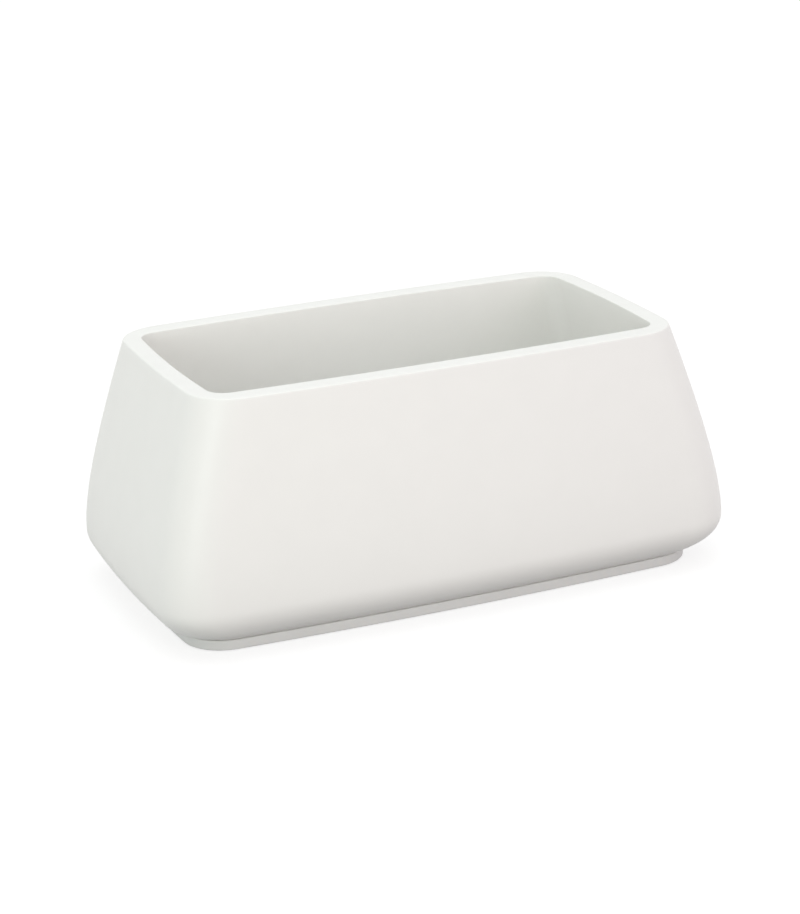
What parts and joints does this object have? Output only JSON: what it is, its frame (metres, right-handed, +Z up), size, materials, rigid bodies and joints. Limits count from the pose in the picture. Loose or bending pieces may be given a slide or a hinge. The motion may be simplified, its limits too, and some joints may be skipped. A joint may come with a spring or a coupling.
{
  "type": "rectangular planter",
  "caption": "Low rectangular garden planter, double-walled, flared towards a soft belt above a recessed base plinth, open on top, with lift-out drain plugs in its floor.",
  "frame": {"origin": "middle of the footprint, on the ground plane that the foot pads rest on", "axes": "+Z up, +X along the planter's length, +Y across its width"},
  "size_m": [1, 0.566, 0.413],
  "materials": {
    "body_shell": "matte off-white moulded polyethylene with a fine grain",
    "plinth": "matte off-white moulded plastic, a shade darker than the body",
    "drain_fitting": "grey moulded plastic",
    "drain_plug": "charcoal moulded plastic",
    "seal_rubber": "matte black rubber",
    "foot_rubber": "matte black rubber",
    "fastener_steel": "satin stainless steel",
    "insert_brass": "turned brass"
  },
  "bodies": {
    "planter": {"planter_body": "body_shell", "base_plinth": "plinth", "drain_bushing_left": "drain_fitting", "bushing_gasket_left": "seal_rubber", "bushing_nut_left": "drain_fitting", "drain_bushing_right": "drain_fitting", "bushing_gasket_right": "seal_rubber", "bushing_nut_right": "drain_fitting", "base_screw_1": "fastener_steel", "base_screw_2": "fastener_steel", "base_screw_3": "fastener_steel", "base_screw_4": "fastener_steel", "base_screw_5": "fastener_steel", "base_screw_6": "fastener_steel", "base_screw_7": "fastener_steel", "base_screw_8": "fastener_steel", "screw_washer_1": "fastener_steel", "screw_washer_2": "fastener_steel", "screw_washer_3": "fastener_steel", "screw_washer_4": "fastener_steel", "screw_washer_5": "fastener_steel", "screw_washer_6": "fastener_steel", "screw_washer_7": "fastener_steel", "screw_washer_8": "fastener_steel", "threaded_insert_1": "insert_brass", "threaded_insert_2": "insert_brass", "threaded_insert_3": "insert_brass", "threaded_insert_4": "insert_brass", "threaded_insert_5": "insert_brass", "threaded_insert_6": "insert_brass", "threaded_insert_7": "insert_brass", "threaded_insert_8": "insert_brass", "foot_pad_1": "foot_rubber", "foot_pad_2": "foot_rubber", "foot_pad_3": "foot_rubber", "foot_pad_4": "foot_rubber", "foot_pad_5": "foot_rubber", "foot_pad_6": "foot_rubber"},
    "left_plug": {"drain_plug_left": "drain_plug", "plug_seal_left": "seal_rubber"},
    "right_plug": {"drain_plug_right": "drain_plug", "plug_seal_right": "seal_rubber"}
  },
  "joints": [
    {"name": "left_plug_lift", "type": "slide", "parent": "planter", "child": "left_plug", "axis": [0, 0, 1], "range_m": [0, 0.05]},
    {"name": "right_plug_lift", "type": "slide", "parent": "planter", "child": "right_plug", "axis": [0, 0, 1], "range_m": [0, 0.05]}
  ]
}
